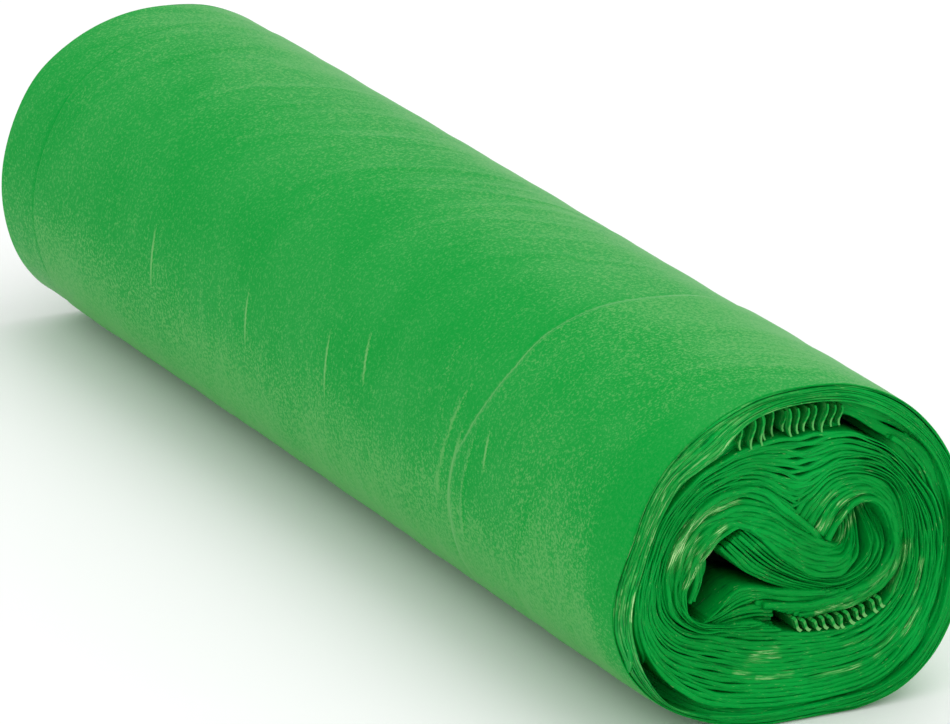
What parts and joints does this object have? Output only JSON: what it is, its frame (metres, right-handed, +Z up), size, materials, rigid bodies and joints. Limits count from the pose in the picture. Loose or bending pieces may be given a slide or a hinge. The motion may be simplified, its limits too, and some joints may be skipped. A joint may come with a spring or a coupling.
{
  "type": "bin bag roll",
  "caption": "Coreless roll of green polythene refuse sacks lying on its side, with the dished, folded turns of film showing at both ends.",
  "frame": {"origin": "bottom centre of the bounding box, on the ground under the middle of the roll's flat spot side", "axes": "+X along the roll, towards its fatter end; +Z up; +Y across the roll"},
  "size_m": [0.35, 0.091, 0.081],
  "materials": {
    "film": "satin"
  },
  "bodies": {
    "root": {"bag_roll": "film"}
  },
  "joints": []
}
